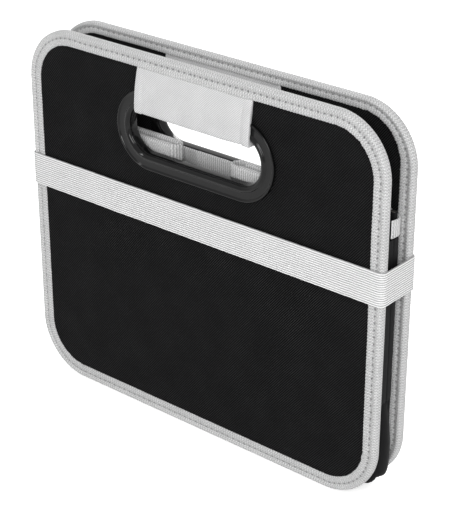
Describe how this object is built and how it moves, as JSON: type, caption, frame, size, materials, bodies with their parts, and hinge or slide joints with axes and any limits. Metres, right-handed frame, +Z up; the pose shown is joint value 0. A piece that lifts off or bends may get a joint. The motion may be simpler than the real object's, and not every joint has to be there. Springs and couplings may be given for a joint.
{
  "type": "car trunk organizer",
  "caption": "Collapsible fabric box folded flat: two taped board panels with padded handle cut-outs, side walls folded between them, held by an elastic band.",
  "frame": {"origin": "middle of the folded pack's base, on the surface it stands on", "axes": "+X along the width, +Y from the front panel to the rear panel, +Z up"},
  "size_m": [0.323, 0.0446, 0.282],
  "materials": {
    "twill": "black polyester twill",
    "wall_cloth": "smooth black lining cloth",
    "board": "stiff plastic board",
    "tape": "light grey ribbed binding tape",
    "grip_cloth": "light grey twill",
    "elastic": "light grey ribbed elastic",
    "gloss_black": "glossy black moulded plastic"
  },
  "bodies": {
    "rear": {"rear_board": "board", "rear_cover": "twill", "rear_lining": "twill", "rear_binding": "tape", "rear_handle_frame": "gloss_black", "rear_handle_ring": "gloss_black", "rear_grip_wrap": "grip_cloth", "rear_floor_cloth": "wall_cloth", "rear_floor_board": "board", "rear_pocket": "wall_cloth", "rear_pocket_tape": "tape", "left_rear_web": "wall_cloth", "right_rear_web": "wall_cloth", "left_soft_corner": "wall_cloth", "right_soft_corner": "wall_cloth", "elastic_band": "elastic"},
    "front": {"front_board": "board", "front_cover": "twill", "front_lining": "twill", "front_binding": "tape", "front_handle_frame": "gloss_black", "front_handle_ring": "gloss_black", "front_grip_wrap": "grip_cloth", "front_floor_cloth": "wall_cloth", "front_floor_board": "board", "left_front_web": "wall_cloth", "right_front_web": "wall_cloth"},
    "left_rear_wall": {"left_wall_rear_cloth": "wall_cloth", "left_wall_rear_board": "board", "left_wall_rear_tape": "tape", "left_fold_cloth": "wall_cloth", "left_fold_tape": "tape"},
    "left_front_wall": {"left_wall_front_cloth": "wall_cloth", "left_wall_front_board": "board", "left_wall_front_tape": "tape"},
    "right_rear_wall": {"right_wall_rear_cloth": "wall_cloth", "right_wall_rear_board": "board", "right_wall_rear_tape": "tape", "right_fold_cloth": "wall_cloth", "right_fold_tape": "tape"},
    "right_front_wall": {"right_wall_front_cloth": "wall_cloth", "right_wall_front_board": "board", "right_wall_front_tape": "tape"}
  },
  "joints": [
    {"name": "left_wall_hinge", "type": "hinge", "parent": "rear", "child": "left_rear_wall", "pos_m": [-0.155, -0.0017, 0.111], "axis": [0, 0, -1], "range_deg": [0, 89.5], "deforming": ["elastic_band"]},
    {"name": "left_fold_hinge", "type": "hinge", "parent": "left_rear_wall", "child": "left_front_wall", "pos_m": [-0.031, -0.0017, 0.111], "axis": [0, 0, 1], "range_deg": [0, 179], "deforming": ["left_fold_cloth", "left_fold_tape"]},
    {"name": "front_panel_hinge", "type": "hinge", "parent": "left_front_wall", "child": "front", "pos_m": [-0.155, -0.0017, 0.111], "axis": [0, 0, -1], "range_deg": [0, 89.5]},
    {"name": "right_wall_hinge", "type": "hinge", "parent": "rear", "child": "right_rear_wall", "pos_m": [0.155, -0.0017, 0.111], "axis": [0, 0, 1], "range_deg": [0, 89.5]},
    {"name": "right_fold_hinge", "type": "hinge", "parent": "right_rear_wall", "child": "right_front_wall", "pos_m": [0.031, -0.0017, 0.111], "axis": [0, 0, -1], "range_deg": [0, 179], "deforming": ["right_fold_cloth", "right_fold_tape"]}
  ],
  "couplings": [
    {"joint": "left_fold_hinge", "follows": "left_wall_hinge", "ratio": 2},
    {"joint": "front_panel_hinge", "follows": "left_wall_hinge", "ratio": 1},
    {"joint": "right_wall_hinge", "follows": "left_wall_hinge", "ratio": 1},
    {"joint": "right_fold_hinge", "follows": "left_wall_hinge", "ratio": 2}
  ]
}
